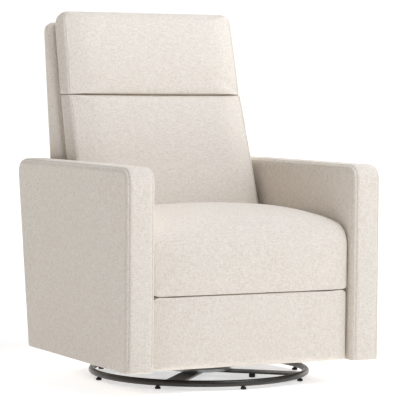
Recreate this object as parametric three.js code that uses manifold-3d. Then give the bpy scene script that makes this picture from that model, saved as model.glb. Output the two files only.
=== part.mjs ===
// Swivel glider recliner for a nursery: a ring base, a swivel, a four-link glider,
// a seat box between two slim arms, a reclining back and a fold-out footrest.
// Millimetres. +X is the sitter's left, +Y the rear, +Z up; the floor is z = 0.
import * as THREE from 'three';
import { mergeVertices } from 'three/addons/utils/BufferGeometryUtils.js';
import Module from 'manifold-3d';

const wasm = await Module();
wasm.setup();

// ---- driving dimensions -------------------------------------------------
const WIDTH = 760;
const FRONT = -391.8;
const HEIGHT = 1016;
const GAP = 0.3;
const WELD = 1e-3;

const ARM_THICKNESS = 79.5;
const ARM_INNER = WIDTH / 2 - ARM_THICKNESS;
const ARM_BOTTOM = 63;
const ARM_TOP = 600;
const ARM_REAR_BOTTOM = FRONT + 650;
const ARM_REAR_TOP = FRONT + 738;
const ARM_CORNER = 34;
const ARM_WALL = 14;

const CENTRE_Y = FRONT + 333;
const RING_RADIUS = 300;
const RING_TUBE = 9.5;
const RING_Z = 17.5;
const CROSS_ANGLE = 48;
const CROSS_WIDTH = 52;
const CROSS_LOW = 13.5;
const CROSS_HIGH = 18.5;
const GLIDE_COUNT = 8;
const GLIDE_ANGLE = -3.5;
const MID_GLIDE_RADIUS = 154;

const PLATE_STEEL = 5;
const SWIVEL_RADIUS = 92;
const SWIVEL_TOP = 44;
const SWING_HALF_SPAN = 120;
const SWING_PIVOT_Z = 185;
const SWING_LENGTH = 125;
const SHAFT_RADIUS = 7;
const HOLE_CLEARANCE = 0.4;

const TOWER_X = 150;
const SWING_LINK_X = 158;
const SIDE_PLATE_X = 165;
const LINK_A_X = 173;
const LINK_B_X = 180;
const EAR_X = 187;

const SEAT_BOTTOM = 262;
const CUSHION_BOTTOM = 331;
const SEAT_CROWN = 478;
const SEAT_HALF = 293;
const SEAT_FRONT = FRONT + 16;
const RAIL_LOW = 268;
const RAIL_HIGH = 316;
const RAIL_THICKNESS = 28;
const SPRING_COUNT = 3;
const SPRING_WAVES = 8;
const SPRING_WIRE = 1.8;

const RECLINE_PIVOT = new THREE.Vector2(FRONT + 560, 380);
const FOOT_PIVOT_A = new THREE.Vector2(FRONT + 160, 236);
const FOOT_PIVOT_B = new THREE.Vector2(FRONT + 133, 82);
const FOOT_PIVOT_C = new THREE.Vector2(FRONT + 70, 236);
const PANEL_THICKNESS = 32;
const PANEL_TOP = 257;

const BACK_BOTTOM = 398;
const SEAM_Z = 783;
const BACK_HALF_TOP = 270;
const BACK_HALF_SEAM = 272;
const BACK_HALF_BOTTOM = 284;
const COVER_HALF = 284;
const COVER_WALL = 12;

// ---- materials ----------------------------------------------------------
const linen = () => new THREE.MeshStandardMaterial({ color: 0xe6ddd1, roughness: 0.95, metalness: 0 });
const timber = () => new THREE.MeshStandardMaterial({ color: 0xb98f5f, roughness: 0.7, metalness: 0 });
const blackSteel = () => new THREE.MeshStandardMaterial({ color: 0x2a2725, roughness: 0.4, metalness: 0.8 });
const zincSteel = () => new THREE.MeshStandardMaterial({ color: 0x9a9c9e, roughness: 0.45, metalness: 0.9 });
const rubber = () => new THREE.MeshStandardMaterial({ color: 0x141414, roughness: 0.9, metalness: 0 });

const chair = new THREE.Group();

function add(name, geometry, material) {
  const mesh = new THREE.Mesh(geometry, material);
  mesh.name = name;
  chair.add(mesh);
  return mesh;
}

// ---- solids: joining and cutting ----------------------------------------
function toSolid(geometry) {
  const bare = geometry.clone();
  bare.deleteAttribute('normal');
  bare.deleteAttribute('uv');
  const merged = mergeVertices(bare, WELD);
  return new wasm.Manifold(new wasm.Mesh({
    numProp: 3,
    vertProperties: new Float32Array(merged.attributes.position.array),
    triVerts: new Uint32Array(merged.index.array),
  }));
}

function fromSolid(solid) {
  const mesh = solid.getMesh();
  const geometry = new THREE.BufferGeometry();
  geometry.setAttribute('position', new THREE.BufferAttribute(new Float32Array(mesh.vertProperties), 3));
  geometry.setIndex(new THREE.BufferAttribute(new Uint32Array(mesh.triVerts), 1));
  geometry.computeVertexNormals();
  return geometry;
}

function cut(geometry, ...tools) {
  return fromSolid(tools.reduce((solid, tool) => solid.subtract(toSolid(tool)), toSolid(geometry)));
}

function join(geometry, ...others) {
  return fromSolid(others.reduce((solid, other) => solid.add(toSolid(other)), toSolid(geometry)));
}

// ---- shapes -------------------------------------------------------------
// A corner is [y, z, radius]; the outline runs anticlockwise seen from +X.
function roundedShape(corners) {
  const shape = new THREE.Shape();
  const points = corners.map(([y, z]) => new THREE.Vector2(y, z));
  corners.forEach(([, , radius = 0], i) => {
    const here = points[i];
    const before = points[(i + points.length - 1) % points.length];
    const after = points[(i + 1) % points.length];
    const start = here.clone().add(before.clone().sub(here).setLength(radius));
    const end = here.clone().add(after.clone().sub(here).setLength(radius));
    if (i === 0) {
      shape.moveTo(start.x, start.y);
    } else {
      shape.lineTo(start.x, start.y);
    }
    if (radius > 0) {
      shape.quadraticCurveTo(here.x, here.y, end.x, end.y);
    }
  });
  shape.closePath();
  return shape;
}

// A side-view outline pushed out along X between two planes, with rolled edges.
// With a roll, each corner radius is nought or at least one and a half times the roll.
function slab(corners, fromX, toX, roll = 0, curveSegments = 3) {
  const geometry = new THREE.ExtrudeGeometry(roundedShape(corners), {
    depth: toX - fromX - 2 * roll,
    bevelEnabled: roll > 0,
    bevelThickness: roll,
    bevelSize: roll,
    bevelOffset: -roll,
    bevelSegments: 2,
    curveSegments,
  });
  const sideView = new THREE.Matrix4().makeBasis(
    new THREE.Vector3(0, 1, 0), new THREE.Vector3(0, 0, 1), new THREE.Vector3(1, 0, 0));
  return geometry.applyMatrix4(sideView).translate(fromX + roll, 0, 0);
}

function block(fromX, toX, fromY, toY, fromZ, toZ) {
  return new THREE.BoxGeometry(toX - fromX, toY - fromY, toZ - fromZ)
    .translate((fromX + toX) / 2, (fromY + toY) / 2, (fromZ + toZ) / 2);
}

function rodX(fromX, toX, y, z, radius, sides = 16) {
  return new THREE.CylinderGeometry(radius, radius, toX - fromX, sides)
    .rotateZ(Math.PI / 2).translate((fromX + toX) / 2, y, z);
}

function rodZ(x, y, fromZ, toZ, radius, sides = 24) {
  return new THREE.CylinderGeometry(radius, radius, toZ - fromZ, sides)
    .rotateX(Math.PI / 2).translate(x, y, (fromZ + toZ) / 2);
}

// The same geometry on the other side of the chair, with its faces turned outward again.
function mirrored(geometry) {
  const flipped = mergeVertices(geometry.clone().deleteAttribute('normal').deleteAttribute('uv'), WELD);
  flipped.scale(-1, 1, 1);
  const index = flipped.index.array;
  for (let i = 0; i < index.length; i += 3) {
    [index[i], index[i + 2]] = [index[i + 2], index[i]];
  }
  flipped.computeVertexNormals();
  return flipped;
}

// Adds name_right as drawn, at +X seen from the front, and name_left mirrored.
function addPair(name, geometry, material) {
  add(`${name}_right`, geometry, material);
  add(`${name}_left`, mirrored(geometry), material.clone());
}

// Narrows a geometry's width linearly with height.
function taper(geometry, lowZ, lowScale, highZ, highScale) {
  const position = geometry.attributes.position;
  for (let i = 0; i < position.count; i += 1) {
    const t = (position.getZ(i) - lowZ) / (highZ - lowZ);
    position.setX(i, position.getX(i) * THREE.MathUtils.lerp(lowScale, highScale, t));
  }
  return geometry;
}

// A flat link between two pivots in the side view, round-ended, with two holes.
function link(from, to, fromX, toX, halfWidth, holeRadius) {
  const along = to.clone().sub(from).normalize();
  const across = new THREE.Vector2(-along.y, along.x);
  const startAngle = Math.atan2(across.y, across.x);
  const shape = new THREE.Shape();
  shape.absarc(from.x, from.y, halfWidth, startAngle, startAngle + Math.PI, false);
  shape.absarc(to.x, to.y, halfWidth, startAngle + Math.PI, startAngle + 2 * Math.PI, false);
  for (const pivot of [from, to]) {
    const hole = new THREE.Path();
    hole.absarc(pivot.x, pivot.y, holeRadius, 0, 2 * Math.PI, true);
    shape.holes.push(hole);
  }
  const geometry = new THREE.ExtrudeGeometry(shape, {
    depth: toX - fromX, bevelEnabled: false, curveSegments: 8,
  });
  const sideView = new THREE.Matrix4().makeBasis(
    new THREE.Vector3(0, 1, 0), new THREE.Vector3(0, 0, 1), new THREE.Vector3(1, 0, 0));
  return geometry.applyMatrix4(sideView).translate(fromX, 0, 0);
}

// ---- ring base ----------------------------------------------------------
function ringBase() {
  const tube = new THREE.Path();
  tube.absarc(RING_RADIUS, 0, RING_TUBE, 0, 2 * Math.PI, false);
  const section = tube.getPoints(5);
  section[section.length - 1].copy(section[0]);
  const ring = new THREE.LatheGeometry(section, 56).rotateX(Math.PI / 2).translate(0, CENTRE_Y, RING_Z);
  add('base_ring', ring, blackSteel());

  const reach = Math.sqrt((RING_RADIUS - RING_TUBE - 2) ** 2 - (CROSS_WIDTH / 2) ** 2);
  const bar = (angle) => new THREE.BoxGeometry(2 * reach, CROSS_WIDTH, CROSS_HIGH - CROSS_LOW)
    .rotateZ(THREE.MathUtils.degToRad(angle))
    .translate(0, CENTRE_Y, (CROSS_LOW + CROSS_HIGH) / 2);
  add('base_cross', join(bar(CROSS_ANGLE), bar(CROSS_ANGLE + 90)), blackSteel());

  for (let i = 0; i < GLIDE_COUNT; i += 1) {
    const angle = THREE.MathUtils.degToRad(GLIDE_ANGLE + (i * 360) / GLIDE_COUNT);
    const x = RING_RADIUS * Math.cos(angle);
    const y = CENTRE_Y + RING_RADIUS * Math.sin(angle);
    add(`rim_glide_${i + 1}`, rodZ(x, y, 0, RING_Z - RING_TUBE - GAP, 8, 12), rubber());
  }
  for (let i = 0; i < 4; i += 1) {
    const angle = THREE.MathUtils.degToRad(CROSS_ANGLE + 90 * i);
    const x = MID_GLIDE_RADIUS * Math.cos(angle);
    const y = CENTRE_Y + MID_GLIDE_RADIUS * Math.sin(angle);
    add(`mid_glide_${i + 1}`, rodZ(x, y, 0, CROSS_LOW - GAP, 9, 12), rubber());
  }
}

// ---- swivel: lower race on the cross, ball ring, upper plate, king pin ----
function swivel() {
  const raceTop = 27;
  const ballTop = 36;
  const pinRadius = 10;
  const lower = rodZ(0, CENTRE_Y, CROSS_HIGH + GAP, raceTop, SWIVEL_RADIUS, 32);
  const pin = rodZ(0, CENTRE_Y, CROSS_HIGH + GAP, SWIVEL_TOP + 5, pinRadius);
  const pinHead = rodZ(0, CENTRE_Y, SWIVEL_TOP + GAP + 1, SWIVEL_TOP + 6, pinRadius + 5);
  add('swivel_lower_plate', join(lower, pin, pinHead), zincSteel());
  const bore = rodZ(0, CENTRE_Y, 0, 100, pinRadius + 0.5);
  const ballRing = cut(rodZ(0, CENTRE_Y, raceTop + GAP, ballTop, 78, 32),
    rodZ(0, CENTRE_Y, 0, 100, 60, 32));
  add('swivel_ball_ring', ballRing, zincSteel());
  const upper = rodZ(0, CENTRE_Y, ballTop + GAP, SWIVEL_TOP, SWIVEL_RADIUS, 32);
  const wings = block(-TOWER_X - 6, TOWER_X + 6, CENTRE_Y - 40, CENTRE_Y + 40, 38, SWIVEL_TOP);
  add('swivel_upper_plate', cut(join(upper, wings), bore), blackSteel());
}

// ---- glider: two towers, four swing links, four shafts --------------------
function glider() {
  const lowZ = SWING_PIVOT_Z - SWING_LENGTH;
  const front = CENTRE_Y - SWING_HALF_SPAN;
  const rear = CENTRE_Y + SWING_HALF_SPAN;
  const hole = SHAFT_RADIUS + HOLE_CLEARANCE;
  const towerHoles = [front, rear].map((y) => rodX(0, WIDTH, y, SWING_PIVOT_Z, hole));
  const tower = slab([
    [CENTRE_Y - 40, SWIVEL_TOP + GAP], [CENTRE_Y + 40, SWIVEL_TOP + GAP], [CENTRE_Y + 45, 92],
    [rear + 16, SWING_PIVOT_Z - 16], [rear + 16, SWING_PIVOT_Z + 16],
    [front - 16, SWING_PIVOT_Z + 16], [front - 16, SWING_PIVOT_Z - 16], [CENTRE_Y - 45, 92],
  ], TOWER_X, TOWER_X + 6);
  addPair('glider_tower', cut(tower, ...towerHoles), blackSteel());

  const shaftEnd = SWING_LINK_X + PLATE_STEEL + 1;
  for (const [name, y] of [['front', front], ['rear', rear]]) {
    add(`${name}_upper_shaft`, rodX(-shaftEnd, shaftEnd, y, SWING_PIVOT_Z, SHAFT_RADIUS), zincSteel());
    const lowEnd = SIDE_PLATE_X + PLATE_STEEL;
    add(`${name}_lower_shaft`, rodX(-lowEnd, lowEnd, y, lowZ, SHAFT_RADIUS), zincSteel());
    const top = new THREE.Vector2(y, SWING_PIVOT_Z);
    const bottom = new THREE.Vector2(y, lowZ);
    const bar = link(bottom, top, SWING_LINK_X, SWING_LINK_X + PLATE_STEEL, 13, hole);
    addPair(`${name}_swing_link`, bar, blackSteel());
  }
}

// ---- side plates: carry the lower shafts, seat, back pivot and footrest ---
function sidePlates() {
  const from = SIDE_PLATE_X;
  const to = from + PLATE_STEEL;
  const p = RECLINE_PIVOT;
  const plate = slab([
    [FRONT + 200, 46], [CENTRE_Y + SWING_HALF_SPAN + 20, 46], [FRONT + 495, 200],
    [FRONT + 532, 262], [p.x + 15, p.y - 4], [p.x + 9, p.y + 12], [p.x - 9, p.y + 12],
    [p.x - 15, p.y + 2], [FRONT + 497, RAIL_LOW - GAP], [FRONT + 143, RAIL_LOW - GAP],
    [FRONT + 143, 222],
  ], from, to);
  const holes = [-1, 1].map((side) => rodX(0, WIDTH, CENTRE_Y + side * SWING_HALF_SPAN,
    SWING_PIVOT_Z - SWING_LENGTH, SHAFT_RADIUS + HOLE_CLEARANCE));
  const reclineStud = rodX(to - 1, LINK_A_X + PLATE_STEEL + 1, p.x, p.y, SHAFT_RADIUS);
  const footStud = rodX(to - 1, LINK_A_X + PLATE_STEEL + 1, FOOT_PIVOT_A.x, FOOT_PIVOT_A.y, 5);
  addPair('side_plate', join(cut(plate, ...holes), reclineStud, footStud), blackSteel());
}

// ---- footrest: two folding links a side, a cross bracket and the panel ----
function footrest() {
  const holeRadius = 5 + HOLE_CLEARANCE;
  const lowerLink = link(FOOT_PIVOT_A, FOOT_PIVOT_B, LINK_A_X, LINK_A_X + PLATE_STEEL, 11, holeRadius);
  const fill = rodX(LINK_A_X, LINK_B_X + PLATE_STEEL + 1, FOOT_PIVOT_B.x, FOOT_PIVOT_B.y, 5);
  const plug = rodX(LINK_A_X, LINK_A_X + PLATE_STEEL, FOOT_PIVOT_B.x, FOOT_PIVOT_B.y, 8);
  addPair('footrest_lower_link', join(lowerLink, plug, fill), blackSteel());

  const upperLink = link(FOOT_PIVOT_B, FOOT_PIVOT_C, LINK_B_X, LINK_B_X + PLATE_STEEL, 10, holeRadius);
  const stud = rodX(LINK_B_X, EAR_X + PLATE_STEEL + 1, FOOT_PIVOT_C.x, FOOT_PIVOT_C.y, 5);
  const studPlug = rodX(LINK_B_X, LINK_B_X + PLATE_STEEL, FOOT_PIVOT_C.x, FOOT_PIVOT_C.y, 8);
  addPair('footrest_upper_link', join(upperLink, studPlug, stud), blackSteel());

  const panelBack = SEAT_FRONT + PANEL_THICKNESS;
  const plateBack = panelBack + GAP + 4;
  const c = FOOT_PIVOT_C;
  const plate = block(-EAR_X - PLATE_STEEL, EAR_X + PLATE_STEEL, panelBack + GAP, plateBack, c.y - 50, c.y + 12);
  const ear = slab([
    [plateBack - 2, c.y - 40], [c.x, c.y - 12], [c.x + 12, c.y - 6], [c.x + 12, c.y + 8],
    [c.x + 4, c.y + 12], [plateBack - 2, c.y + 12],
  ], EAR_X, EAR_X + PLATE_STEEL);
  const bracket = join(plate, ear, mirrored(ear));
  add('footrest_bracket', cut(bracket, rodX(-WIDTH, WIDTH, c.x, c.y, holeRadius)), blackSteel());

  const panel = slab([
    [SEAT_FRONT, ARM_BOTTOM, 10], [panelBack, ARM_BOTTOM],
    [panelBack, PANEL_TOP], [SEAT_FRONT, PANEL_TOP, 11],
  ], -SEAT_HALF, SEAT_HALF, 6);
  add('footrest_panel', panel, linen());
}

// ---- seat box: four rails, springs, padded front border, cushion ----------
function seat() {
  const railSpan = ARM_INNER - 1;
  const frontRailY = SEAT_FRONT + 36;
  const rearRailY = FRONT + 441;
  const t = RAIL_THICKNESS;
  add('seat_rail_front', block(-railSpan, railSpan, frontRailY, frontRailY + t, RAIL_LOW, RAIL_HIGH), timber());
  add('seat_rail_rear', block(-railSpan, railSpan, rearRailY, rearRailY + t, RAIL_LOW, RAIL_HIGH), timber());
  addPair('seat_rail', block(railSpan - t, railSpan, frontRailY + t + GAP, rearRailY - GAP,
    RAIL_LOW, RAIL_HIGH), timber());

  const startY = frontRailY + t / 2;
  const endY = rearRailY + t / 2;
  for (let i = 0; i < SPRING_COUNT; i += 1) {
    const centreX = (i - (SPRING_COUNT - 1) / 2) * 170;
    const points = [];
    const steps = SPRING_WAVES * 4;
    for (let k = 0; k <= steps; k += 1) {
      const s = k / steps;
      const swing = Math.sin(s * SPRING_WAVES * 2 * Math.PI) * 24;
      const crown = 5 * Math.sin(s * Math.PI);
      const z = RAIL_HIGH + GAP + SPRING_WIRE + crown;
      points.push(new THREE.Vector3(centreX + swing, THREE.MathUtils.lerp(startY, endY, s), z));
    }
    const section = new THREE.Shape();
    section.absarc(0, 0, SPRING_WIRE, 0, 2 * Math.PI, false);
    const wire = new THREE.ExtrudeGeometry(section, {
      steps: SPRING_WAVES * 6, curveSegments: 3, bevelEnabled: false,
      extrudePath: new THREE.CatmullRomCurve3(points),
    });
    add(`seat_spring_${i + 1}`, wire, zincSteel());
  }

  add('seat_front_border', slab([
    [SEAT_FRONT, SEAT_BOTTOM, 8], [SEAT_FRONT + 34, SEAT_BOTTOM], [SEAT_FRONT + 34, CUSHION_BOTTOM - 1],
    [SEAT_FRONT, CUSHION_BOTTOM - 1],
  ], -SEAT_HALF, SEAT_HALF, 5), linen());
  add('seat_cushion', slab([
    [SEAT_FRONT, CUSHION_BOTTOM], [FRONT + 440, CUSHION_BOTTOM], [FRONT + 484, 462, 34],
    [FRONT + 270, SEAT_CROWN, 40], [SEAT_FRONT, 446, 62],
  ], -SEAT_HALF, SEAT_HALF, 12, 4), linen());
}

// ---- arms: padded cover, open below, over a timber core -------------------
function arms() {
  const rear = (z) => THREE.MathUtils.mapLinear(z, ARM_BOTTOM, ARM_TOP, ARM_REAR_BOTTOM, ARM_REAR_TOP);
  const outline = (inset, bottom, radius) => [
    [FRONT + inset, bottom], [rear(bottom) - inset, bottom],
    [rear(ARM_TOP - inset) - inset, ARM_TOP - inset, radius],
    [FRONT + inset, ARM_TOP - inset, radius],
  ];
  const outer = slab(outline(0, ARM_BOTTOM, ARM_CORNER), ARM_INNER, WIDTH / 2, 8);
  const inner = slab(outline(ARM_WALL, ARM_BOTTOM - 20, ARM_CORNER - ARM_WALL),
    ARM_INNER + ARM_WALL, WIDTH / 2 - ARM_WALL);
  addPair('arm_cover', cut(outer, inner), linen());
  const core = slab(outline(ARM_WALL + 2, ARM_BOTTOM + 2, ARM_CORNER - ARM_WALL),
    ARM_INNER + ARM_WALL + 2, WIDTH / 2 - ARM_WALL - 2);
  addPair('arm_core', core, timber());
  const apronFoot = rear(ARM_BOTTOM + 3);
  const apronHead = rear(205);
  add('rear_apron', slab([
    [apronFoot - 18, ARM_BOTTOM + 3], [apronFoot - 3, ARM_BOTTOM + 3],
    [apronHead - 3, 205], [apronHead - 18, 205],
  ], -ARM_INNER + 2, ARM_INNER - 2, 3), linen());
}

// ---- back: hollow rear cover over a timber frame, two cushions in front ---
function back() {
  const coverFront = (z) => FRONT + 571 + 0.288 * (z - BACK_BOTTOM);
  const cover = slab([
    [FRONT + 646, 225], [FRONT + 674, 225], [FRONT + 734, 595],
    [FRONT + 786.5, 992, 22], [coverFront(992), 992, 16],
    [coverFront(401), 401], [FRONT + 666, 366],
  ], -COVER_HALF, COVER_HALF, 10);
  const cavity = slab([
    [FRONT + 682, 340], [FRONT + 686, 395], [FRONT + 718, 595],
    [FRONT + 766, 975], [coverFront(975) + COVER_WALL, 975],
    [coverFront(395) + COVER_WALL, 395], [coverFront(340) + COVER_WALL, 340],
  ], -COVER_HALF + COVER_WALL + 4, COVER_HALF - COVER_WALL - 4);
  add('back_cover', cut(cover, cavity), linen());

  const postFront = (z) => coverFront(z) + COVER_WALL + 1;
  addPair('back_post', slab([
    [postFront(415), 415], [postFront(415) + 50, 415], [postFront(960) + 16, 960], [postFront(960), 960],
  ], 182, 207), timber());
  for (const [name, low] of [['lower', 530], ['upper', 840]]) {
    const depth = 22;
    add(`back_rail_${name}`, slab([
      [postFront(low), low], [postFront(low) + depth, low],
      [postFront(low + 50) + depth, low + 50], [postFront(low + 50), low + 50],
    ], -182 + GAP, 182 - GAP), timber());
  }

  const p = RECLINE_PIVOT;
  const bracket = slab([
    [p.x - 12, p.y - 8], [p.x + 2, p.y - 14], [FRONT + 620, 372], [FRONT + 641, 400],
    [FRONT + 652, 520], [FRONT + 632, 520], [FRONT + 608, 405], [FRONT + 585, 392],
    [p.x - 8, p.y + 11],
  ], LINK_A_X, LINK_A_X + PLATE_STEEL);
  const pivotHole = rodX(0, WIDTH, p.x, p.y, SHAFT_RADIUS + HOLE_CLEARANCE);
  addPair('recline_bracket', cut(bracket, pivotHole), blackSteel());

  const scaleAt = (half) => half / BACK_HALF_SEAM;
  const lumbar = slab([
    [FRONT + 478, BACK_BOTTOM, 26], [FRONT + 565, BACK_BOTTOM],
    [FRONT + 677, SEAM_Z - 2], [FRONT + 611, SEAM_Z - 2],
  ], -BACK_HALF_SEAM, BACK_HALF_SEAM, 10);
  add('lumbar_cushion', taper(lumbar, BACK_BOTTOM, scaleAt(BACK_HALF_BOTTOM), SEAM_Z, 1), linen());
  const headrest = slab([
    [FRONT + 612, SEAM_Z + 2], [FRONT + 679, SEAM_Z + 2],
    [FRONT + 740, HEIGHT, 26], [FRONT + 671, HEIGHT, 20],
  ], -BACK_HALF_SEAM, BACK_HALF_SEAM, 10);
  add('headrest_cushion', taper(headrest, SEAM_Z, 1, HEIGHT, scaleAt(BACK_HALF_TOP)), linen());
}

ringBase();
swivel();
glider();
sidePlates();
footrest();
seat();
arms();
back();

export default chair;
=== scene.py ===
"""Looks of the nursery glider recliner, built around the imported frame.

Metres. +X is the sitter's left, +Y the rear, +Z up, and the floor is z = 0.
"""
import math

import bmesh
import bpy
import numpy as np
from mathutils import Matrix, Vector
from mathutils.bvhtree import BVHTree


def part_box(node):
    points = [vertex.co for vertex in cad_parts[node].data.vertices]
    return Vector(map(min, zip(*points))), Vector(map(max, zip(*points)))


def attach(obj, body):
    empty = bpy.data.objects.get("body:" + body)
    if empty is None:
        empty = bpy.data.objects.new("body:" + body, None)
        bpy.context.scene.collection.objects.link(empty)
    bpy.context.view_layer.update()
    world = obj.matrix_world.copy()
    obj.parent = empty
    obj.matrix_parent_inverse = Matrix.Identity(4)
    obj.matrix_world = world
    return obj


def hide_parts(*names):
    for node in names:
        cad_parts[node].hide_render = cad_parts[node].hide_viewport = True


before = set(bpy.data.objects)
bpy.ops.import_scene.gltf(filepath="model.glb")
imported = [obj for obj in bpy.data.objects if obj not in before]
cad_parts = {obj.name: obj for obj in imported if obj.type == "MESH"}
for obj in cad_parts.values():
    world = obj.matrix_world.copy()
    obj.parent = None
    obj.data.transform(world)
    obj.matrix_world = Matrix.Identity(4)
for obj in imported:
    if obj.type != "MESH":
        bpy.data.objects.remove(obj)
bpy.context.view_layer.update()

# ---- places that the frame gives ---------------------------------------------------------
ARM_LO, ARM_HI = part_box("arm_cover_right")
FRONT, ARM_TOP, ARM_BOTTOM = ARM_LO.y, ARM_HI.z, ARM_LO.z
ARM_IN, ARM_OUT = ARM_LO.x, ARM_HI.x
SEAT_LO, SEAT_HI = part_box("seat_cushion")
BORDER_LO, BORDER_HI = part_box("seat_front_border")
PANEL_LO, PANEL_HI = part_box("footrest_panel")
LUMBAR_LO, LUMBAR_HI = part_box("lumbar_cushion")
HEAD_LO, HEAD_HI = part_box("headrest_cushion")
COVER_LO, COVER_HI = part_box("back_cover")
APRON_LO, APRON_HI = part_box("rear_apron")
RING_LO, RING_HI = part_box("base_ring")

# ---- how far covers stand proud, and how they are sewn and filled ------------------------
ARM_PROUD = 0.005
ARM_REAR_PROUD = 0.010
ARM_SIDE_PROUD = 0.003
BACK_PROUD = 0.007
SEAT_SIDE_PROUD = 0.0050
PANEL_SIDE_PROUD = 0.003
COVER_SIDE_PROUD = 0.006
LIP = 0.0024
SMALLEST_RADIUS = 0.0015
WEAVE_PITCH = 0.0019
STITCH_PITCH = 0.0060
STITCH_LENGTH = 0.0046
THREAD_RADIUS = 0.00075
CUSHION_PRESSURE = 4.0
PANEL_PRESSURE = 3.0
CLOTH_STIFFNESS = 12.0
SIMULATION_FRAMES = 20


# ---- camera ------------------------------------------------------------------------------
def place_camera():
    focal, frame_side = 2110.75, 400
    forward = Vector((0.45441833, 0.88910924, -0.05466937))
    right = forward.cross(Vector((0, 0, 1))).normalized()
    up = right.cross(forward)
    roll = math.radians(0.457)
    across = right * math.cos(roll) + up * math.sin(roll)
    upward = up * math.cos(roll) - right * math.sin(roll)
    turn = Matrix((across, upward, -forward)).transposed().to_4x4()
    data = bpy.data.cameras.new("photo_camera")
    data.sensor_width = 36
    data.lens = focal * data.sensor_width / frame_side
    data.clip_end = 100
    camera = bpy.data.objects.new("photo_camera", data)
    camera.matrix_world = Matrix.Translation((-2.68283, -5.30708, 0.81459)) @ turn
    bpy.context.scene.collection.objects.link(camera)
    bpy.context.scene.camera = camera


# ---- node materials ----------------------------------------------------------------------
class Nodes:
    """A small writer for a material's node tree."""

    def __init__(self, name):
        self.material = bpy.data.materials.new(name)
        self.material.use_nodes = True
        self.tree = self.material.node_tree
        self.shader = self.tree.nodes["Principled BSDF"]
        coordinates = self.tree.nodes.new("ShaderNodeTexCoord")
        self.place = coordinates.outputs["Object"]
        self.normal = coordinates.outputs["Normal"]

    def add(self, kind, inputs=None, **settings):
        node = self.tree.nodes.new(kind)
        for key, value in settings.items():
            setattr(node, key, value)
        for key, value in (inputs or {}).items():
            if isinstance(value, bpy.types.NodeSocket):
                self.tree.links.new(value, node.inputs[key])
            else:
                node.inputs[key].default_value = value
        return node

    def maths(self, operation, a, b=0.0, c=0.0):
        return self.add("ShaderNodeMath", {0: a, 1: b, 2: c}, operation=operation).outputs[0]

    def scaled(self, scale):
        return self.add("ShaderNodeMapping", {"Vector": self.place, "Scale": scale}).outputs[0]

    def noise(self, vector, scale, detail=3.0, rough=0.55):
        return self.add("ShaderNodeTexNoise", {
            "Vector": vector, "Scale": scale, "Detail": detail, "Roughness": rough,
        }).outputs["Fac"]

    def ramp(self, value, low, high, out_low=0.0, out_high=1.0):
        return self.add("ShaderNodeMapRange", {
            "Value": value, "From Min": low, "From Max": high,
            "To Min": out_low, "To Max": out_high,
        }).outputs[0]

    def mix(self, factor, a, b, kind="MIX"):
        node = self.add("ShaderNodeMix", data_type="RGBA", blend_type=kind)
        for socket, value in ((0, factor), (6, a), (7, b)):
            if isinstance(value, bpy.types.NodeSocket):
                self.tree.links.new(value, node.inputs[socket])
            else:
                node.inputs[socket].default_value = value
        return node.outputs[2]

    def bump(self, height, strength, distance, normal=None):
        inputs = {"Height": height, "Strength": strength, "Distance": distance}
        if normal is not None:
            inputs["Normal"] = normal
        return self.add("ShaderNodeBump", inputs).outputs[0]

    def link(self, name, socket):
        self.tree.links.new(socket, self.shader.inputs[name])

    def set(self, **values):
        for name, value in values.items():
            self.shader.inputs[name.replace("_", " ")].default_value = value


def weave(nodes):
    """Threads along the two axes that lie in the surface, over and under each other."""
    absolute = nodes.add("ShaderNodeVectorMath", {0: nodes.normal}, operation="ABSOLUTE")
    facing = nodes.add("ShaderNodeSeparateXYZ", {0: absolute.outputs[0]}).outputs
    wobble = nodes.noise(nodes.place, 90.0, 2.0)
    sides = nodes.add("ShaderNodeSeparateXYZ", {0: nodes.place}).outputs
    total = None
    for axis in range(3):
        phase = nodes.maths("MULTIPLY_ADD", sides[axis], 2 * math.pi / WEAVE_PITCH,
                            nodes.maths("MULTIPLY", wobble, 5.0))
        thread = nodes.maths("ABSOLUTE", nodes.maths("SINE", phase))
        share = nodes.maths("SUBTRACT", 1.0, nodes.maths("SMOOTH_MIN", facing[axis], 1.0, 0.1))
        part = nodes.maths("MULTIPLY", thread, share)
        total = part if total is None else nodes.maths("ADD", total, part)
    return nodes.maths("MULTIPLY", total, 0.5)


def linen():
    """Oatmeal linen blend: fine weave, slubs both ways, faint mottling, a little fuzz."""
    nodes = Nodes("oatmeal_linen")
    along_x = nodes.noise(nodes.scaled((75.0, 420.0, 560.0)), 1.0, 2.0, 0.6)
    along_z = nodes.noise(nodes.scaled((560.0, 420.0, 75.0)), 1.0, 2.0, 0.6)
    along_y = nodes.noise(nodes.scaled((520.0, 75.0, 520.0)), 1.0, 2.0, 0.6)
    speck = nodes.noise(nodes.place, 520.0, 2.0, 0.7)
    patch = nodes.noise(nodes.place, 9.0, 3.0, 0.5)
    threads = nodes.maths("ADD", nodes.maths("ADD", along_x, along_z), along_y)
    thread_tone = nodes.ramp(threads, 1.30, 1.64)
    pale = (0.882, 0.811, 0.729, 1.0)
    deep = (0.740, 0.658, 0.565, 1.0)
    flax = (0.550, 0.475, 0.390, 1.0)
    colour = nodes.mix(thread_tone, deep, pale)
    colour = nodes.mix(nodes.ramp(speck, 0.56, 0.74, 0.0, 0.55), colour, flax)
    colour = nodes.mix(nodes.ramp(patch, 0.35, 0.70, 0.0, 0.06), colour, deep)
    nodes.link("Base Color", colour)
    nodes.link("Roughness", nodes.ramp(thread_tone, 0.0, 1.0, 0.95, 0.82))
    fine = nodes.bump(weave(nodes), 0.35, 0.0005)
    slub = nodes.bump(threads, 0.30, 0.0009, fine)
    nodes.link("Normal", slub)
    nodes.set(Sheen_Weight=0.16, Sheen_Roughness=0.45, Sheen_Tint=(1.0, 0.97, 0.93, 1.0))
    nodes.set(Specular_IOR_Level=0.18)
    return nodes.material


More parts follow.
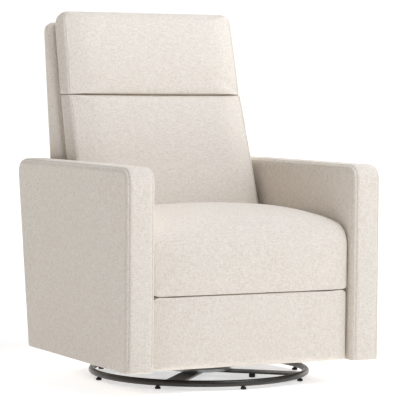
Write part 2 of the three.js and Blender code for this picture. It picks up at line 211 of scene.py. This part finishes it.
def thread_material():
    """Twisted cotton thread, a shade deeper than the cloth."""
    nodes = Nodes("stitching_thread")
    twist = nodes.noise(nodes.place, 1500.0, 1.0)
    nodes.link("Base Color", nodes.mix(twist, (0.36, 0.30, 0.23, 1), (0.58, 0.51, 0.42, 1)))
    nodes.link("Roughness", nodes.ramp(twist, 0.2, 0.8, 0.55, 0.8))
    nodes.link("Normal", nodes.bump(twist, 0.5, 0.0002))
    nodes.set(Sheen_Weight=0.2, Specular_IOR_Level=0.3)
    return nodes.material


def black_steel():
    """Powder-coated dark bronze steel: fine orange peel, dust, rubbed edges."""
    nodes = Nodes("dark_bronze_steel")
    peel = nodes.noise(nodes.place, 700.0, 2.0)
    cloud = nodes.noise(nodes.place, 22.0, 4.0)
    worn = nodes.noise(nodes.place, 140.0, 5.0, 0.7)
    colour = nodes.mix(cloud, (0.020, 0.017, 0.015, 1), (0.040, 0.034, 0.029, 1))
    colour = nodes.mix(nodes.ramp(worn, 0.66, 0.76, 0.0, 0.5), colour, (0.13, 0.115, 0.10, 1))
    nodes.link("Base Color", colour)
    nodes.link("Roughness", nodes.ramp(cloud, 0.3, 0.7, 0.28, 0.42))
    nodes.link("Normal", nodes.bump(peel, 0.12, 0.0002))
    nodes.set(Metallic=0.35, Specular_IOR_Level=0.6, Coat_Weight=0.15, Coat_Roughness=0.3)
    return nodes.material


def zinc_steel():
    """Zinc-plated steel with drawn streaks and dull patches."""
    nodes = Nodes("zinc_plated_steel")
    streak = nodes.noise(nodes.scaled((30.0, 900.0, 900.0)), 1.0, 2.0)
    bloom = nodes.noise(nodes.place, 35.0, 4.0)
    nodes.link("Base Color", nodes.mix(bloom, (0.36, 0.37, 0.38, 1), (0.62, 0.63, 0.63, 1)))
    nodes.link("Roughness", nodes.ramp(bloom, 0.3, 0.7, 0.3, 0.55))
    nodes.link("Normal", nodes.bump(streak, 0.2, 0.0002))
    nodes.set(Metallic=1.0)
    return nodes.material


def timber():
    """Plain frame hardwood: rings drawn out along the length, pores, planed sheen."""
    nodes = Nodes("frame_hardwood")
    grain = nodes.noise(nodes.scaled((6.0, 90.0, 90.0)), 1.0, 4.0, 0.6)
    pores = nodes.noise(nodes.scaled((60.0, 900.0, 900.0)), 1.0, 2.0)
    colour = nodes.mix(grain, (0.36, 0.22, 0.11, 1), (0.62, 0.43, 0.25, 1))
    colour = nodes.mix(nodes.ramp(pores, 0.62, 0.75, 0.0, 0.6), colour, (0.22, 0.12, 0.06, 1))
    nodes.link("Base Color", colour)
    nodes.link("Roughness", nodes.ramp(grain, 0.3, 0.7, 0.5, 0.7))
    nodes.link("Normal", nodes.bump(pores, 0.25, 0.0003))
    return nodes.material


def rubber():
    """Moulded black rubber with floor dust."""
    nodes = Nodes("moulded_rubber")
    dust = nodes.noise(nodes.place, 260.0, 4.0, 0.7)
    nodes.link("Base Color", nodes.mix(nodes.ramp(dust, 0.5, 0.8), (0.012, 0.012, 0.012, 1),
                                       (0.07, 0.065, 0.06, 1)))
    nodes.link("Roughness", nodes.ramp(dust, 0.3, 0.7, 0.6, 0.85))
    nodes.link("Normal", nodes.bump(dust, 0.2, 0.0002))
    return nodes.material


# ---- mesh code ---------------------------------------------------------------------------
def mesh_object(name, points, faces, material):
    data = bpy.data.meshes.new(name)
    data.from_pydata([tuple(p) for p in points], [], faces)
    data.validate()
    data.update()
    piece = bpy.data.objects.new(name, data)
    bpy.context.scene.collection.objects.link(piece)
    data.materials.append(material)
    data.polygons.foreach_set("use_smooth", [True] * len(data.polygons))
    return piece


def section(corners, insets, shrink, bulges, counts, arc_steps):
    """One closed outline in (y, z), anticlockwise seen from +X.

    A corner is (y, z, radius). Edge i runs from corner i to the next, is pushed in by
    insets[i] and bulges outward by bulges[i] at its middle.
    """
    number = len(corners)
    spots = [np.array(corner[:2]) for corner in corners]
    lines = []
    for i in range(number):
        along = spots[(i + 1) % number] - spots[i]
        along = along / np.linalg.norm(along)
        inward = np.array([-along[1], along[0]])
        lines.append((spots[i] + inward * insets[i], along, inward))
    arcs = []
    for i in range(number):
        (a, d, d_in), (b, e, _) = lines[i - 1], lines[i]
        reach = np.linalg.solve(np.array([d, -e]).T, b - a)[0]
        corner = a + d * reach
        side = 1.0 if d[0] * e[1] - d[1] * e[0] > 0 else -1.0
        turn = math.acos(max(-1.0, min(1.0, float(d @ e))))
        radius = max(corners[i][2] - shrink, SMALLEST_RADIUS)
        start = corner - d * radius * math.tan(turn / 2)
        centre = start + d_in * radius * side
        spoke = start - centre
        arc = []
        for k in range(arc_steps + 1):
            angle = side * turn * k / arc_steps
            cosine, sine = math.cos(angle), math.sin(angle)
            arc.append(centre + np.array([cosine * spoke[0] - sine * spoke[1],
                                          sine * spoke[0] + cosine * spoke[1]]))
        arcs.append(arc)
    outline = []
    for i in range(number):
        outline.extend(arcs[i])
        first, last = arcs[i][-1], arcs[(i + 1) % number][0]
        for k in range(1, counts[i]):
            t = k / counts[i]
            out = -lines[i][2] * bulges[i] * (4 * t * (1 - t))
            outline.append(first + (last - first) * t + out)
    return outline


def quarter(radius, steps):
    """A quarter-round end: (distance from the end plane, inset) pairs, outside first."""
    angles = [math.pi / 2 * k / steps for k in range(steps + 1)]
    return [(radius * (1 - math.cos(a)), radius * (1 - math.sin(a)), "") for a in angles]


def closing_ring(ring, share):
    """A ring inside a flat end panel, rounder and more evenly spaced the further in it lies."""
    ring = np.array(ring)
    middle = (ring.max(axis=0) + ring.min(axis=0)) / 2
    spokes = (ring - middle)[:, 1:]
    reach = np.linalg.norm(spokes, axis=1).min()
    start = math.atan2(spokes[0][1], spokes[0][0])
    turns = start + 2 * math.pi * np.arange(len(ring)) / len(ring)
    rounds = reach * np.stack([np.cos(turns), np.sin(turns)], axis=1)
    ring[:, 1:] = middle[1:] + (1 - share) * (spokes * (1 - share) + rounds * share)
    return ring.tolist()


class Loft:
    """A closed padded form: one side-view outline, carried across the width.

    profile holds (distance from the end plane, inset, tag), from the end plane inward.
    weights scale each edge's inset, crowns add a broad inset towards the ends, and bulges
    bow each edge outward. Each end is closed by rings inset by cap, then by rings at the
    shares in panel of the way to the middle, bowed outward by up to cap_puff.
    """

    def __init__(self, corners, from_x, to_x, profile, weights, step, arc_steps, cap,
                 crowns=None, bulges=None, panel=(), cap_puff=0.0, crown_power=2.2):
        edges = len(corners)
        crowns = crowns or [0.0] * edges
        bulges = bulges or [0.0] * edges
        counts = []
        for i in range(edges):
            length = math.dist(corners[i][:2], corners[(i + 1) % edges][:2])
            counts.append(max(2, round(length / step)))
        middle, half = (from_x + to_x) / 2, (to_x - from_x) / 2
        end = profile[0]
        rows = []
        for extra in reversed(cap):
            rows.append((-half, end[1], extra, ""))
        for distance, inset, tag in profile:
            rows.append((distance - half, inset, 0.0, tag))
        free, stretch = half - profile[-1][0], 1.4
        spans = max(4, round(free / step / stretch))
        for k in range(1, spans + 1):
            rows.append((-free * (1 - k / spans), profile[-1][1], 0.0, ""))
        rows += [(-x, inset, extra, tag) for x, inset, extra, tag in reversed(rows[:-1])]
        self.tags = [row[3] for row in rows]
        rings = []
        for x, inset, extra, _ in rows:
            lean = min(1.0, abs(x) / half) ** crown_power
            pushes = [w * inset + c * lean + extra for w, c in zip(weights, crowns)]
            outline = section(corners, pushes, inset * 0.6 + extra, bulges, counts, arc_steps)
            rings.append([(middle + x, y, z) for y, z in outline])
        first = [closing_ring(rings[0], share) for share in reversed(panel)]
        last = [closing_ring(rings[-1], share) for share in panel]
        self.tags = [""] * len(panel) + self.tags + [""] * len(panel)
        self.points = np.array(first + rings + last)
        self.count = self.points.shape[1]
        self.bow_ends(cap, panel, cap_puff)

    def bow_ends(self, cap, panel, puff):
        """Bows both end panels outward, most at the middle."""
        if panel:
            shares = [0.0] * len(cap) + list(panel)
        else:
            shares = [extra / cap[-1] for extra in cap]
        for k, share in enumerate(shares):
            bow = puff * share * (2 - share)
            self.points[len(shares) - 1 - k, :, 0] -= bow
            self.points[len(self.tags) - len(shares) + k, :, 0] += bow

    def faces(self):
        rows, count = self.points.shape[:2]
        found = []
        for i in range(rows - 1):
            for j in range(count):
                after = (j + 1) % count
                found.append((i * count + j, (i + 1) * count + j,
                              (i + 1) * count + after, i * count + after))
        return found

    def piece(self, name, material):
        rows, count = self.points.shape[:2]
        flat = self.points.reshape(-1, 3)
        caps = []
        middles = []
        for row, forward in ((0, True), (rows - 1, False)):
            middles.append(self.points[row].mean(axis=0))
            centre = rows * count + len(middles) - 1
            for j in range(count):
                a, b = row * count + j, row * count + (j + 1) % count
                caps.append((centre, a, b) if forward else (centre, b, a))
        piece = mesh_object(name, np.vstack([flat, middles]), self.faces() + caps, material)
        shell = bmesh.new()
        shell.from_mesh(piece.data)
        bmesh.ops.recalc_face_normals(shell, faces=shell.faces)
        shell.to_mesh(piece.data)
        shell.free()
        return piece

    def rings(self, tag):
        """The numbers of the rings that carry a tag."""
        return [i for i, t in enumerate(self.tags) if t == tag]


def vertices(piece):
    data = np.empty(len(piece.data.vertices) * 3, np.float32)
    piece.data.vertices.foreach_get("co", data)
    return data.reshape(-1, 3).astype(float)


def set_vertices(piece, points):
    piece.data.vertices.foreach_set("co", np.asarray(points, np.float32).ravel())
    piece.data.update()


def apply_modifiers(piece):
    graph = bpy.context.evaluated_depsgraph_get()
    data = bpy.data.meshes.new_from_object(piece.evaluated_get(graph))
    old = piece.data
    piece.modifiers.clear()
    piece.data = data
    bpy.data.meshes.remove(old)
    data.name = piece.name


def swell(piece, held, pressure, travel):
    """Inflates the cover by cloth simulation, and lets no point move further than travel.

    held is 1 where a seam or the frame holds the cover.
    """
    before = vertices(piece)
    group = piece.vertex_groups.new(name="held")
    for i in np.nonzero(held > 0.01)[0]:
        group.add([int(i)], float(held[i]), "REPLACE")
    cloth = piece.modifiers.new("Cloth", "CLOTH")
    settings = cloth.settings
    settings.quality = 4
    settings.mass = 0.3
    settings.use_pressure = True
    settings.uniform_pressure_force = pressure
    settings.tension_stiffness = CLOTH_STIFFNESS
    settings.compression_stiffness = CLOTH_STIFFNESS
    settings.shear_stiffness = CLOTH_STIFFNESS / 2
    settings.bending_stiffness = 2.0
    settings.effector_weights.gravity = 0
    settings.vertex_group_mass = "held"
    cloth.collision_settings.use_collision = False
    cloth.collision_settings.use_self_collision = False
    scene = bpy.context.scene
    for number in range(1, SIMULATION_FRAMES + 1):
        scene.frame_set(number)
    graph = bpy.context.evaluated_depsgraph_get()
    swollen = piece.evaluated_get(graph)
    after = np.empty(len(before) * 3, np.float32)
    swollen.data.vertices.foreach_get("co", after)
    moved = after.reshape(-1, 3) - before
    length = np.linalg.norm(moved, axis=1)
    moved *= np.minimum(1.0, travel / np.maximum(length, 1e-9))[:, None]
    piece.modifiers.remove(cloth)
    piece.vertex_groups.remove(group)
    scene.frame_set(1)
    set_vertices(piece, before + moved)


def relax(piece, freedom, rounds):
    """Smooths a cover over its filling, where freedom is above nought."""
    group = piece.vertex_groups.new(name="free")
    for i in np.nonzero(freedom > 0.01)[0]:
        group.add([int(i)], float(freedom[i]), "REPLACE")
    modifier = piece.modifiers.new("Relax", "SMOOTH")
    modifier.factor = 0.5
    modifier.iterations = rounds
    modifier.vertex_group = "free"
    apply_modifiers(piece)
    piece.vertex_groups.clear()


def subdivide(piece):
    modifier = piece.modifiers.new("Subdivision", "SUBSURF")
    modifier.levels = 1
    modifier.render_levels = 1
    modifier.use_limit_surface = False
    apply_modifiers(piece)


def surface_of(piece):
    faces = [tuple(p.vertices) for p in piece.data.polygons]
    return BVHTree.FromPolygons([v.co for v in piece.data.vertices], faces)


def resample(path, pitch):
    """Points a pitch apart along an open path, and the direction at each."""
    path = np.asarray(path, float)
    gaps = np.linalg.norm(np.diff(path, axis=0), axis=1)
    along = np.concatenate([[0.0], np.cumsum(gaps)])
    number = max(2, int(along[-1] / pitch))
    marks = (np.arange(number) + 0.5) * along[-1] / number
    spots = np.stack([np.interp(marks, along, path[:, k]) for k in range(3)], axis=1)
    ahead = np.stack([np.interp(marks + pitch / 4, along, path[:, k]) for k in range(3)], axis=1)
    behind = np.stack([np.interp(marks - pitch / 4, along, path[:, k]) for k in range(3)], axis=1)
    return spots, ahead - behind


def stitches(name, surface, paths, material):
    """Short raised threads laid on a surface along each path, sunk at both ends."""
    sides, stations = 6, ((-1.0, 0.25, -0.9), (-0.72, 0.85, 0.1), (0.0, 1.0, 0.45),
                          (0.72, 0.85, 0.1), (1.0, 0.25, -0.9))
    points, faces = [], []
    for path in paths:
        spots, ways = resample(path, STITCH_PITCH)
        for spot, way in zip(spots, ways):
            near, normal, _, _ = surface.find_nearest(Vector(spot))
            if near is None:
                continue
            along = Vector(way)
            along = (along - normal * along.dot(normal)).normalized()
            across = normal.cross(along)
            base = len(points)
            for where, girth, lift in stations:
                shift = along * (where * STITCH_LENGTH / 2)
                centre = near + shift + normal * (lift * THREAD_RADIUS)
                for k in range(sides):
                    angle = 2 * math.pi * k / sides
                    spoke = across * math.cos(angle) + normal * math.sin(angle)
                    points.append(centre + spoke * (THREAD_RADIUS * girth))
            for i in range(len(stations) - 1):
                for k in range(sides):
                    after = (k + 1) % sides
                    a, b = base + i * sides, base + (i + 1) * sides
                    faces.append((a + k, a + after, b + after, b + k))
            faces.append(tuple(base + k for k in reversed(range(sides))))
            last = base + (len(stations) - 1) * sides
            faces.append(tuple(last + k for k in range(sides)))
    return mesh_object(name, points, faces, material)


def stretch_between(points, keep):
    """The parts of a closed ring of points where keep is true, each an open path."""
    flags = [bool(keep(p)) for p in points]
    if all(flags):
        return [list(points) + [points[0]]]
    start = flags.index(False)
    order = [(start + k) % len(points) for k in range(len(points))]
    paths, current = [], []
    for i in order:
        if flags[i]:
            current.append(points[i])
        elif current:
            paths.append(current)
            current = []
    if current:
        paths.append(current)
    return [path for path in paths if len(path) > 3]


def revolve(name, profile, centre, material):
    """A turned piece about a vertical axis; profile is (radius, z) from bottom to top."""
    sides = 40
    points, faces = [], []
    for r, z in profile:
        for k in range(sides):
            angle = 2 * math.pi * k / sides
            points.append((centre[0] + r * math.cos(angle), centre[1] + r * math.sin(angle), z))
    for i in range(len(profile) - 1):
        for k in range(sides):
            after = (k + 1) % sides
            faces.append((i * sides + k, i * sides + after,
                          (i + 1) * sides + after, (i + 1) * sides + k))
    faces.append(tuple(reversed(range(sides))))
    faces.append(tuple((len(profile) - 1) * sides + k for k in range(sides)))
    return mesh_object(name, points, faces, material)


def finish_pad(piece, body, nodes):
    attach(piece, body)
    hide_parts(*nodes)


def sew(name, body, piece, rings, keep, thread):
    """Lays topstitching on a finished piece, along the parts of its rings where keep is true."""
    paths = []
    for ring in rings:
        paths += stretch_between(ring, keep)
    sewing = stitches(name, surface_of(piece), paths, thread)
    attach(sewing, body)


# ---- profiles across a sewn edge ---------------------------------------------------------
def crown_fall(s, drop, span):
    """How far a crowned band has fallen at a distance s from its edge."""
    edge_step, curve = 0.0016, 2.1
    return (drop - edge_step) * max(0.0, 1 - s / span) ** curve


def sewn_edge(drop, span, stitch_offset, stitch_depth, groove):
    """From a side panel, through the seam's groove and a topstitch, up onto a crowned band.

    drop is how far the band falls from its middle to the seam, within span of the edge.
    The topstitch lies stitch_offset from the edge, and groove scales how far the seam cuts in.
    """
    rows = [
        (0.0000, drop + 0.0090, ""), (0.0000, drop + 0.0048, ""), (0.0005, drop + 0.0028, ""),
        (0.0026 * groove, drop + 0.0023, ""), (0.0052 * groove, drop + 0.0028, "seam"),
        (0.0032 * groove, drop + 0.0008, ""),
        (0.0012, drop - 0.0002, ""), (0.0014, drop - 0.0014, ""),
    ]
    for s in (0.0026, 0.0044):
        rows.append((s, crown_fall(s, drop, span), ""))
    for offset, depth, tag in ((-0.0022, 0.0, ""), (-0.0008, 0.75, ""), (0.0, 1.0, "stitch"),
                               (0.0008, 0.75, ""), (0.0022, 0.0, "")):
        s = stitch_offset + offset
        rows.append((s, crown_fall(s, drop, span) + depth * stitch_depth, tag))
    for s in (0.0125, 0.0160, 0.0220, 0.0300):
        rows.append((s, crown_fall(s, drop, span), ""))
    return rows


# ---- pieces ------------------------------------------------------------------------------
def build_arm(side, cloth, thread):
    """One arm: two flat side panels and a crowned band over the front, top and rear."""
    name = "right" if side > 0 else "left"
    outer = ARM_OUT + ARM_SIDE_PROUD
    from_x, to_x = (ARM_IN, outer) if side > 0 else (-outer, -ARM_IN)
    rear_bottom, rear_top = FRONT + 0.650, FRONT + 0.738
    corners = [
        (FRONT - ARM_PROUD, ARM_BOTTOM, 0.006), (rear_bottom + ARM_REAR_PROUD, ARM_BOTTOM, 0.016),
        (rear_top + ARM_REAR_PROUD, ARM_TOP, 0.036), (FRONT - ARM_PROUD, ARM_TOP, 0.038),
    ]
    edge = sewn_edge(0.0098, span=0.019, stitch_offset=0.0082, stitch_depth=0.0018, groove=0.30)
    loft = Loft(corners, from_x, to_x, edge, weights=[0.12, 0.45, 1, 1],
                bulges=[0, 0.0006, 0.0006, 0.0006], step=0.013, arc_steps=9, cap=(0.010,),
                panel=(0.06, 0.15, 0.27, 0.41, 0.56, 0.72, 0.88), cap_puff=0.0015)
    piece = loft.piece(f"arm_upholstery_{name}", cloth)
    subdivide(piece)
    finish_pad(piece, "platform", [f"arm_cover_{name}"])
    rings = [loft.points[i] for i in loft.rings("stitch")]
    sew(f"arm_stitching_{name}", "platform", piece, rings,
        lambda p: p[2] > ARM_BOTTOM + 0.004, thread)


def build_seat(cloth):
    """The seat: one crowned pillow from the footrest gap up over the front to the back."""
    front, rear = SEAT_LO.y, SEAT_HI.y
    border_back = BORDER_HI.y
    bottom = BORDER_LO.z - LIP
    corners = [
        (front, bottom, 0.0018), (border_back, bottom, 0.004),
        (border_back, SEAT_LO.z, 0.004), (rear - 0.044, SEAT_LO.z, 0.010),
        (rear, 0.467, 0.034), (FRONT + 0.260, 0.483, 0.350), (front, 0.453, 0.062),
    ]
    loft = Loft(corners, SEAT_LO.x - SEAT_SIDE_PROUD, SEAT_HI.x + SEAT_SIDE_PROUD,
                quarter(0.024, 10),
                weights=[0.45, 0, 0, 0.4, 0.8, 0.75, 0.60],
                crowns=[0, 0, 0, 0, 0.022, 0.016, 0.003],
                bulges=[0, 0, 0, 0, 0.002, 0.003, 0.0], step=0.013, arc_steps=8, cap=(0.003,),
                cap_puff=0.001, crown_power=2.0)
    piece = loft.piece("seat_cushion_upholstery", cloth)
    points = vertices(piece)
    held = np.zeros(len(points))
    low = points[:, 2] < BORDER_LO.z + 0.012
    under = (points[:, 1] > border_back - 0.003) & (points[:, 2] < SEAT_LO.z + 0.012)
    held[low | under] = 1.0
    held[np.abs(points[:, 0]) > SEAT_HI.x - 0.003] = 1.0
    swell(piece, held, CUSHION_PRESSURE, 0.006)
    relax(piece, 1.0 - held, 8)
    subdivide(piece)
    finish_pad(piece, "platform", ["seat_cushion", "seat_front_border"])


def build_footrest(cloth):
    """The footrest pad: a thin crowned panel with rounded top corners."""
    front, back, top = PANEL_LO.y, PANEL_HI.y, PANEL_HI.z + LIP
    corners = [
        (front, PANEL_LO.z, 0.010), (back, PANEL_LO.z, 0.003),
        (back, top, 0.003), (front, top, 0.0018),
    ]
    loft = Loft(corners, PANEL_LO.x - PANEL_SIDE_PROUD, PANEL_HI.x + PANEL_SIDE_PROUD,
                quarter(0.022, 8),
                weights=[0.5, 0.05, 1.0, 0.62], crowns=[0, 0, 0.001, 0.004],
                step=0.011, arc_steps=6, cap=(0.003,), cap_puff=0.001)
    piece = loft.piece("footrest_upholstery", cloth)
    points = vertices(piece)
    held = np.zeros(len(points))
    held[points[:, 1] > back - 0.006] = 1.0
    held[np.abs(points[:, 0]) > PANEL_HI.x - 0.002] = 0.8
    swell(piece, held, PANEL_PRESSURE, 0.003)
    subdivide(piece)
    finish_pad(piece, "footrest", ["footrest_panel"])


def narrow(loft_points, low_z, low_half, high_z, high_half, middle_half):
    """Scales the width with height, as the cut of the cushion tapers."""
    t = np.clip((loft_points[..., 2] - low_z) / (high_z - low_z), 0, 1)
    loft_points[..., 0] *= (low_half + (high_half - low_half) * t) / middle_half


def build_back_cushion(node, corners, widths, weights, cloth, thread, travel):
    """A boxed cushion: side boxing, a seam and topstitch, and a crowned front panel."""
    low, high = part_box(node)
    low_half, high_half = widths
    half = max(widths)
    edge = sewn_edge(0.0130, span=0.026, stitch_offset=0.0085, stitch_depth=0.0014, groove=0.12)
    loft = Loft(corners, -half, half, edge,
                weights=weights, crowns=[0, 0, 0, 0.008], bulges=[0.0005, 0, 0.0005, 0.003],
                crown_power=6.0,
                step=0.013, arc_steps=7, cap=(0.003, 0.008, 0.013, 0.018), cap_puff=0.0045)
    narrow(loft.points, low.z, low_half, high.z, high_half, half)
    piece = loft.piece(f"{node}_upholstery", cloth)
    points = vertices(piece)
    held = np.zeros(len(points))
    count = loft.count
    first, last = loft.rings("stitch")
    held[:(first + 1) * count] = 1.0
    held[last * count:] = 1.0
    rear = np.array([corners[1][:2], corners[2][:2]])
    along = (rear[1] - rear[0]) / np.linalg.norm(rear[1] - rear[0])

    def depth(spots):
        """How far points lie behind (above nought) or in front of the cushion's rear face."""
        return (spots[..., 1] - rear[0][0]) * along[1] - (spots[..., 2] - rear[0][1]) * along[0]

    held[depth(points) > -0.045] = 1.0
    swell(piece, held, CUSHION_PRESSURE, travel)
    settled = vertices(piece)
    subdivide(piece)
    finish_pad(piece, "backrest", [node])
    rings = [settled[i * count:(i + 1) * count] for i in (first, last)]
    sew(f"{node}_stitching", "backrest", piece, rings, lambda p: depth(p) < -0.030, thread)


def build_back(cloth, thread):
    seam = (LUMBAR_HI.z + HEAD_LO.z) / 2
    gap = 0.0002
    lumbar = [
        (FRONT + 0.478 - BACK_PROUD, LUMBAR_LO.z, 0.026), (FRONT + 0.565, LUMBAR_LO.z, 0.006),
        (FRONT + 0.677, seam - gap, 0.006), (FRONT + 0.609 - BACK_PROUD, seam - gap, 0.0100),
    ]
    build_back_cushion("lumbar_cushion", lumbar, (0.2865, 0.2792),
                       [0.5, 0.3, 0.12, 1.0], cloth, thread, 0.005)
    top = HEAD_HI.z + 0.006
    headrest = [
        (FRONT + 0.616 - BACK_PROUD, seam + gap, 0.0030), (FRONT + 0.679, seam + gap, 0.006),
        (FRONT + 0.742, top, 0.026), (FRONT + 0.672 - BACK_PROUD * 0.6, top, 0.020),
    ]
    build_back_cushion("headrest_cushion", headrest, (0.2795, 0.2735),
                       [0.12, 0.3, 1.45, 1.0], cloth, thread, 0.004)


def cover_front(z):
    """The front face of the rear cover leans with the back."""
    return FRONT + 0.571 + 0.288 * (z - 0.398)


def build_cover(cloth, thread):
    """The slab behind the cushions, with a seam and topstitch around both faces."""
    top = COVER_HI.z
    corners = [
        (FRONT + 0.646, 0.225, 0.008), (FRONT + 0.674, 0.225, 0.008), (FRONT + 0.734, 0.595, 0.400),
        (FRONT + 0.7865, top, 0.022), (cover_front(top), top, 0.016),
        (cover_front(0.401), 0.401, 0.010), (FRONT + 0.666, 0.366, 0.010),
    ]
    edge = sewn_edge(0.0110, span=0.024, stitch_offset=0.0085, stitch_depth=0.0010, groove=0.35)
    loft = Loft(corners, COVER_LO.x - COVER_SIDE_PROUD, COVER_HI.x + COVER_SIDE_PROUD, edge,
                weights=[0.6, 0.6, 0.6, 1.2, 0.8, 0.3, 0.8],
                crowns=[0, 0.002, 0.003, 0.001, 0, 0, 0], step=0.015, arc_steps=6,
                cap=(0.003,), cap_puff=0.0015)
    piece = loft.piece("back_cover_upholstery", cloth)
    subdivide(piece)
    finish_pad(piece, "backrest", ["back_cover"])
    rings = [loft.points[i] for i in loft.rings("stitch")]
    sew("back_cover_stitching", "backrest", piece, rings,
        lambda p: p[1] > cover_front(p[2]) + 0.020, thread)


def build_apron(cloth):
    """The low panel between the arms at the rear, over the mechanism."""
    low, high = APRON_LO, APRON_HI
    depth = 0.015
    corners = [
        (low.y, low.z, 0.004), (low.y + depth, low.z, 0.004),
        (high.y, high.z, 0.004), (high.y - depth, high.z, 0.004),
    ]
    loft = Loft(corners, low.x, high.x, quarter(0.005, 4), weights=[0.4, 1, 0.4, 0.6],
                crowns=[0, 0.001, 0, 0], step=0.012, arc_steps=4, cap=(0.001,))
    piece = loft.piece("rear_apron_upholstery", cloth)
    subdivide(piece)
    finish_pad(piece, "platform", ["rear_apron"])


def build_base(steel, black_rubber):
    """The bent tube ring and its turned glides."""
    tube = (RING_HI.z - RING_LO.z) / 2
    middle_z = (RING_HI.z + RING_LO.z) / 2
    centre = ((RING_HI.x + RING_LO.x) / 2, (RING_HI.y + RING_LO.y) / 2)
    radius = (RING_HI.x - RING_LO.x) / 2 - tube
    around, sides = 192, 24
    points, faces = [], []
    for i in range(around):
        a = 2 * math.pi * i / around
        for k in range(sides):
            b = 2 * math.pi * k / sides
            r = radius + tube * math.cos(b)
            points.append((centre[0] + r * math.cos(a), centre[1] + r * math.sin(a),
                           middle_z + tube * math.sin(b)))
            here, ahead, beside = i * sides, ((i + 1) % around) * sides, (k + 1) % sides
            faces.append((here + k, ahead + k, ahead + beside, here + beside))
    ring = mesh_object("base_ring_tube", points, faces, steel)
    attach(ring, "base")
    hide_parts("base_ring")
    for node in sorted(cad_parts):
        if "_glide_" not in node:
            continue
        low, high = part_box(node)
        r, top = (high.x - low.x) / 2, high.z
        spot = ((high.x + low.x) / 2, (high.y + low.y) / 2)
        profile = [(r * 0.80, 0.0), (r * 0.93, 0.0004), (r, 0.0016), (r, top * 0.62),
                   (r * 0.94, top * 0.70), (r * 0.72, top * 0.74), (r * 0.68, top)]
        foot = revolve(f"{node}_foot", profile, spot, black_rubber)
        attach(foot, "base")
        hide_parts(node)


# ---- room --------------------------------------------------------------------------------
def white_floor():
    """A pale floor that glows a little, so that it stays white around the object."""
    nodes = Nodes("studio_floor")
    soft = nodes.noise(nodes.place, 1.5, 2.0)
    nodes.link("Base Color", nodes.mix(soft, (0.93, 0.93, 0.93, 1), (0.96, 0.96, 0.96, 1)))
    nodes.set(Roughness=0.9, Specular_IOR_Level=0.1, Emission_Color=(1, 1, 1, 1))
    length = nodes.add("ShaderNodeVectorMath", {0: nodes.place}, operation="LENGTH")
    reach = length.outputs["Value"]
    near = nodes.ramp(reach, 0.35, 0.80, 0.58, 0.33)
    far = nodes.ramp(reach, 1.2, 5.0, 0.0, 0.50)
    nodes.link("Emission Strength", nodes.maths("ADD", near, far))
    side = 30.0
    points = [(-side, -side, 0), (side, -side, 0), (side, side, 0), (-side, side, 0)]
    floor = mesh_object("studio_floor", points, [(0, 1, 2, 3)], nodes.material)
    floor.location.z = -0.0005


def sky():
    """Light from behind the object is bright and from the front dim; it looks plain white."""
    world = bpy.data.worlds.new("studio")
    bpy.context.scene.world = world
    world.use_nodes = True
    tree = world.node_tree
    background = tree.nodes["Background"]
    coordinates = tree.nodes.new("ShaderNodeTexCoord")
    toward = tree.nodes.new("ShaderNodeVectorMath")
    toward.operation = "DOT_PRODUCT"
    toward.inputs[1].default_value = (0.45, 0.89, 0.02)
    ramp = tree.nodes.new("ShaderNodeValToRGB")
    stops = ramp.color_ramp
    stops.elements[0].position = 0.35
    stops.elements[0].color = (0.126, 0.130, 0.136, 1)
    stops.elements[1].position = 0.88
    stops.elements[1].color = (1.08, 1.08, 1.08, 1)
    share = tree.nodes.new("ShaderNodeMapRange")
    share.inputs["From Min"].default_value = -1.0
    share.inputs["From Max"].default_value = 1.0
    tree.links.new(coordinates.outputs["Generated"], toward.inputs[0])
    tree.links.new(toward.outputs["Value"], share.inputs["Value"])
    tree.links.new(share.outputs[0], ramp.inputs[0])
    seen = tree.nodes.new("ShaderNodeLightPath")
    mixed = tree.nodes.new("ShaderNodeMix")
    mixed.data_type = "RGBA"
    tree.links.new(seen.outputs["Is Camera Ray"], mixed.inputs[0])
    tree.links.new(ramp.outputs[0], mixed.inputs[6])
    mixed.inputs[7].default_value = (1.08, 1.08, 1.08, 1)
    tree.links.new(mixed.outputs[2], background.inputs["Color"])
    background.inputs["Strength"].default_value = 1.0


def softbox(name, spot, target, size, power, colour):
    data = bpy.data.lights.new(name, "AREA")
    data.shape = "SQUARE"
    data.size = size
    data.energy = power
    data.color = colour
    light = bpy.data.objects.new(name, data)
    light.location = spot
    light.rotation_euler = (Vector(target) - Vector(spot)).to_track_quat("-Z", "Y").to_euler()
    bpy.context.scene.collection.objects.link(light)


def light_room():
    sky()
    middle = (0.0, 0.0, 0.55)
    softbox("key_light", (2.2, -4.2, 2.0), middle, 2.2, 34, (0.97, 1.0, 1.055))
    softbox("top_light", (0.6, -1.4, 3.3), middle, 2.0, 59, (0.94, 1.0, 1.085))
    softbox("side_light", (3.2, 0.9, 1.4), middle, 1.8, 26, (1.0, 1.0, 1.02))
    bpy.context.scene.view_settings.view_transform = "Standard"


# ---- the scene ---------------------------------------------------------------------------
place_camera()
light_room()
white_floor()

LINEN = linen()
THREAD = thread_material()
STEEL = black_steel()
RUBBER = rubber()
SLOT_MATERIALS = {
    "black_steel": STEEL, "zinc_steel": zinc_steel(), "timber": timber(),
    "rubber": RUBBER, "linen": LINEN,
}
SLOT_WORDS = {
    "zinc_steel": ("spring", "shaft", "swivel_lower_plate", "swivel_ball_ring"),
    "timber": ("rail", "core", "post"),
    "rubber": ("rim_glide_", "mid_glide_"),
    "linen": ("cover", "cushion", "panel", "border", "apron"),
}


def name_slot(node):
    """The material slot of a CAD node, from what the node is called."""
    for slot, words in SLOT_WORDS.items():
        if any(word in node for word in words):
            return slot
    return "black_steel"


for name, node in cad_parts.items():
    for place in node.material_slots:
        place.material = SLOT_MATERIALS[name_slot(name)]

build_base(STEEL, RUBBER)
for arm_side in (-1, 1):
    build_arm(arm_side, LINEN, THREAD)
build_seat(LINEN)
build_footrest(LINEN)
build_back(LINEN, THREAD)
build_cover(LINEN, THREAD)
build_apron(LINEN)
